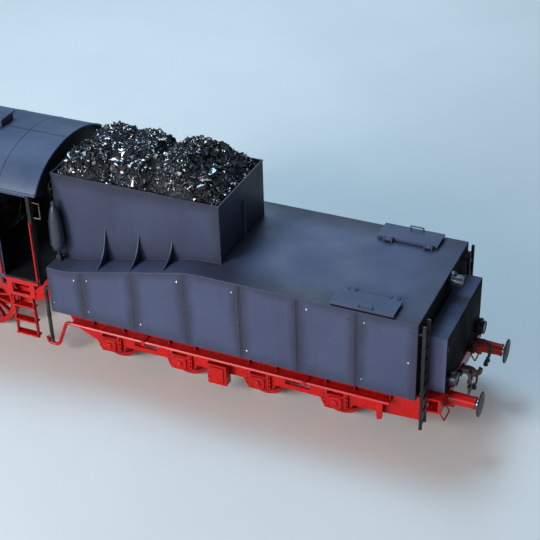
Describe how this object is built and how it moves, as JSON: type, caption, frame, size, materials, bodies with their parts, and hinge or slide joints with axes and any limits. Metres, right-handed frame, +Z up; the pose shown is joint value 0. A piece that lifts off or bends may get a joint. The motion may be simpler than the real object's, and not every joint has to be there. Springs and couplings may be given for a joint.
{
  "type": "steam locomotive tender with cab end",
  "caption": "Rigid-frame steam tender on four axles, with coal bunker, hatches and sprung buffers, drawbar-coupled to its locomotive's cab end.",
  "frame": {"origin": "middle of the assembly's box, on the plane of the wheel flanges' lowest points", "axes": "+X from the buffers towards the locomotive, +Y to the left side, +Z up"},
  "size_m": [0.364, 0.094, 0.1489],
  "materials": {
    "frame_red": "satin red enamel, dusted and chipped at the edges",
    "wheel_red": "satin red enamel with brake dust",
    "body_paint": "matt dark blue-grey, weathered",
    "roof_paint": "matt dark grey with soot",
    "black_metal": "satin black",
    "bare_steel": "oiled steel",
    "hose_rubber": "matt black rubber",
    "lens_glass": "clear lens",
    "window_glass": "clear glass",
    "coal": "glossy black broken coal"
  },
  "bodies": {
    "tender": {"frame_plates": "frame_red", "frame_stretchers": "frame_red", "buffer_beam": "frame_red", "axleboxes": "frame_red", "axlebox_covers": "frame_red", "leaf_springs": "black_metal", "running_ledges": "frame_red", "equipment_box": "frame_red", "footsteps": "frame_red", "guard_irons": "frame_red", "brake_shafts": "bare_steel", "tank_shell": "body_paint", "side_bolts": "bare_steel", "tank_floor": "body_paint", "bunker_shell": "body_paint", "bunker_stiffeners": "body_paint", "coal_load": "coal", "storage_tubes": "body_paint", "rear_tool_box": "body_paint", "rear_ladders": "black_metal", "hatch_coamings": "body_paint", "lamp_bodies": "black_metal", "lamp_lenses": "lens_glass", "buffer_sleeves": "frame_red", "buffer_spring_left": "bare_steel", "buffer_spring_right": "bare_steel", "drawhook": "bare_steel", "hoses": "hose_rubber", "handbrake_bracket": "black_metal"},
    "hatch_left": {"hatch_lid_left": "body_paint"},
    "hatch_right": {"hatch_lid_right": "body_paint"},
    "buffer_left": {"buffer_head_left": "black_metal"},
    "buffer_right": {"buffer_head_right": "black_metal"},
    "coupling_link": {"coupling_link": "bare_steel"},
    "handbrake_lever": {"handbrake_lever": "black_metal"},
    "drawbar": {"drawbar": "bare_steel"},
    "locomotive": {"loco_frame": "frame_red", "loco_axleboxes": "frame_red", "cab_floor": "black_metal", "cab_shell": "body_paint", "cab_roof": "roof_paint", "roof_vent": "roof_paint", "cab_windows": "window_glass", "cab_steps": "frame_red", "cab_handrails": "frame_red", "backhead": "black_metal", "reverser_stand": "black_metal"},
    "driving_wheelset": {"driving_wheelset": "wheel_red"},
    "fall_plate": {"fall_plate": "black_metal"},
    "fire_door": {"fire_door": "black_metal"},
    "regulator": {"regulator_lever": "bare_steel"},
    "reverser": {"reverser_wheel": "bare_steel"},
    "wheelset_1": {"wheelset_1": "wheel_red"},
    "brake_beam_1": {"brake_beam_1": "frame_red"},
    "wheelset_2": {"wheelset_2": "wheel_red"},
    "brake_beam_2": {"brake_beam_2": "frame_red"},
    "wheelset_3": {"wheelset_3": "wheel_red"},
    "brake_beam_3": {"brake_beam_3": "frame_red"},
    "wheelset_4": {"wheelset_4": "wheel_red"},
    "brake_beam_4": {"brake_beam_4": "frame_red"}
  },
  "joints": [
    {"name": "wheel_roll_1", "type": "hinge", "parent": "tender", "child": "wheelset_1", "pos_m": [-0.096, 0, 0.0164], "axis": [0, 1, 0], "continuous": true},
    {"name": "wheel_roll_2", "type": "hinge", "parent": "tender", "child": "wheelset_2", "pos_m": [-0.046, 0, 0.0164], "axis": [0, 1, 0], "continuous": true},
    {"name": "wheel_roll_3", "type": "hinge", "parent": "tender", "child": "wheelset_3", "pos_m": [0.007, 0, 0.0164], "axis": [0, 1, 0], "continuous": true},
    {"name": "wheel_roll_4", "type": "hinge", "parent": "tender", "child": "wheelset_4", "pos_m": [0.057, 0, 0.0164], "axis": [0, 1, 0], "continuous": true},
    {"name": "driving_roll", "type": "hinge", "parent": "locomotive", "child": "driving_wheelset", "pos_m": [0.157, 0, 0.0229], "axis": [0, 1, 0], "continuous": true},
    {"name": "drawbar_swing", "type": "hinge", "parent": "tender", "child": "drawbar", "pos_m": [0.082, 0, 0.0334], "axis": [0, 0, 1], "range_deg": [-1.5, 1.5]},
    {"name": "loco_swing", "type": "hinge", "parent": "drawbar", "child": "locomotive", "pos_m": [0.11, 0, 0.0334], "axis": [0, 0, 1], "range_deg": [-1.5, 1.5]},
    {"name": "hatch_left_hinge", "type": "hinge", "parent": "tender", "child": "hatch_left", "pos_m": [-0.1165, 0.0289, 0.0941], "axis": [1, 0, 0], "range_deg": [0, 105]},
    {"name": "hatch_right_hinge", "type": "hinge", "parent": "tender", "child": "hatch_right", "pos_m": [-0.1165, -0.0289, 0.0941], "axis": [-1, 0, 0], "range_deg": [0, 105]},
    {"name": "buffer_left_slide", "type": "slide", "parent": "tender", "child": "buffer_left", "axis": [1, 0, 0], "range_m": [0, 0.0018], "stiffness_N_per_m": 400, "deforming": ["buffer_spring_left"]},
    {"name": "buffer_right_slide", "type": "slide", "parent": "tender", "child": "buffer_right", "axis": [1, 0, 0], "range_m": [0, 0.0018], "stiffness_N_per_m": 400, "deforming": ["buffer_spring_right"]},
    {"name": "coupling_swing", "type": "hinge", "parent": "tender", "child": "coupling_link", "pos_m": [-0.167, 0, 0.0339], "axis": [0, 1, 0], "range_deg": [-10, 40]},
    {"name": "handbrake", "type": "hinge", "parent": "tender", "child": "handbrake_lever", "pos_m": [0.0926, -0.024, 0.0669], "axis": [-1, 0, 0], "range_deg": [0, 75]},
    {"name": "brake_1", "type": "hinge", "parent": "tender", "child": "brake_beam_1", "pos_m": [-0.1155, 0, 0.0349], "axis": [0, -1, 0], "range_deg": [0, 1.3]},
    {"name": "brake_2", "type": "hinge", "parent": "tender", "child": "brake_beam_2", "pos_m": [-0.0655, 0, 0.0349], "axis": [0, -1, 0], "range_deg": [0, 1.3]},
    {"name": "brake_3", "type": "hinge", "parent": "tender", "child": "brake_beam_3", "pos_m": [-0.0125, 0, 0.0349], "axis": [0, -1, 0], "range_deg": [0, 1.3]},
    {"name": "brake_4", "type": "hinge", "parent": "tender", "child": "brake_beam_4", "pos_m": [0.0375, 0, 0.0349], "axis": [0, -1, 0], "range_deg": [0, 1.3]},
    {"name": "fall_plate_hinge", "type": "hinge", "parent": "locomotive", "child": "fall_plate", "pos_m": [0.1006, 0, 0.05985], "axis": [0, 1, 0], "range_deg": [0, 80]},
    {"name": "fire_door_hinge", "type": "hinge", "parent": "locomotive", "child": "fire_door", "pos_m": [0.1514, -0.0086, 0.0729], "axis": [0, 0, 1], "range_deg": [0, 110]},
    {"name": "regulator_turn", "type": "hinge", "parent": "locomotive", "child": "regulator", "pos_m": [0.15, 0, 0.1049], "axis": [1, 0, 0], "range_deg": [0, 40]},
    {"name": "reverser_turn", "type": "hinge", "parent": "locomotive", "child": "reverser", "pos_m": [0.1326, -0.032, 0.0809], "axis": [1, 0, 0], "range_deg": [-1080, 1080]}
  ],
  "couplings": [
    {"joint": "brake_1", "follows": "handbrake", "ratio": 0.0173},
    {"joint": "brake_2", "follows": "handbrake", "ratio": 0.0173},
    {"joint": "brake_3", "follows": "handbrake", "ratio": 0.0173},
    {"joint": "brake_4", "follows": "handbrake", "ratio": 0.0173}
  ]
}
